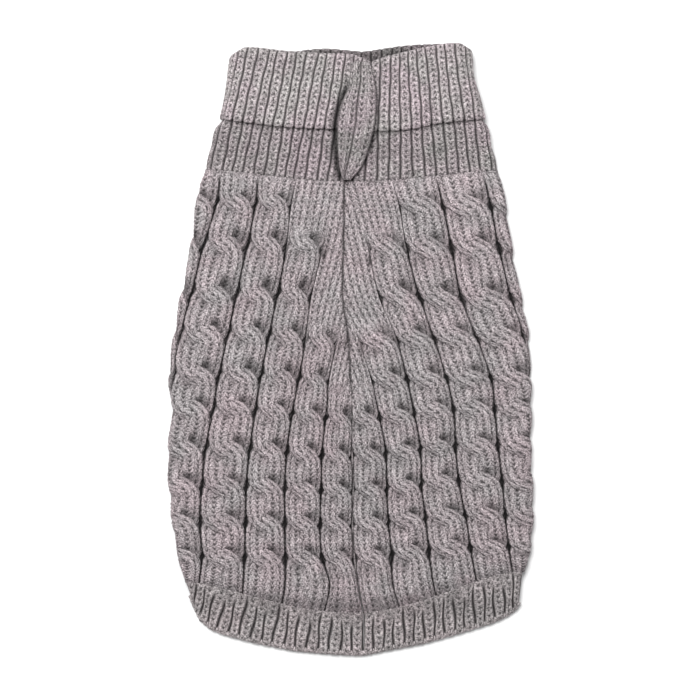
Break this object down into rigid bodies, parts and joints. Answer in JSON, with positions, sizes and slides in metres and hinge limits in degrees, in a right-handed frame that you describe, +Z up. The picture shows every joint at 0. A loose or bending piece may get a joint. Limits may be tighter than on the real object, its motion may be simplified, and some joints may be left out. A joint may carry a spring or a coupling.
{
  "type": "dog sweater",
  "caption": "Cable-knit pullover for a dog with a turned-down ribbed collar and curved ribbed hem, laid flat with its back up.",
  "frame": {"origin": "middle of the flat sweater's outline, on the surface it lies on", "axes": "+X to the right of the back as it is seen from above, +Y to the collar, +Z up off the surface"},
  "size_m": [0.2078, 0.35, 0.0182],
  "materials": {
    "cable_knit": "chunky brushed acrylic yarn, cables and stocking stitch, warm grey",
    "collar_rib": "the same yarn in one by one rib",
    "hem_rib": "the same yarn in one by one rib",
    "belly_knit": "the same yarn in plain stocking stitch"
  },
  "bodies": {
    "root": {"belly": "belly_knit", "hem_belly": "hem_rib", "leg_band_left": "hem_rib", "leg_band_right": "hem_rib", "back_left": "cable_knit", "back_right": "cable_knit", "hem_back_left": "hem_rib", "hem_back_right": "hem_rib", "collar": "collar_rib", "collar_fold": "collar_rib"}
  },
  "joints": []
}
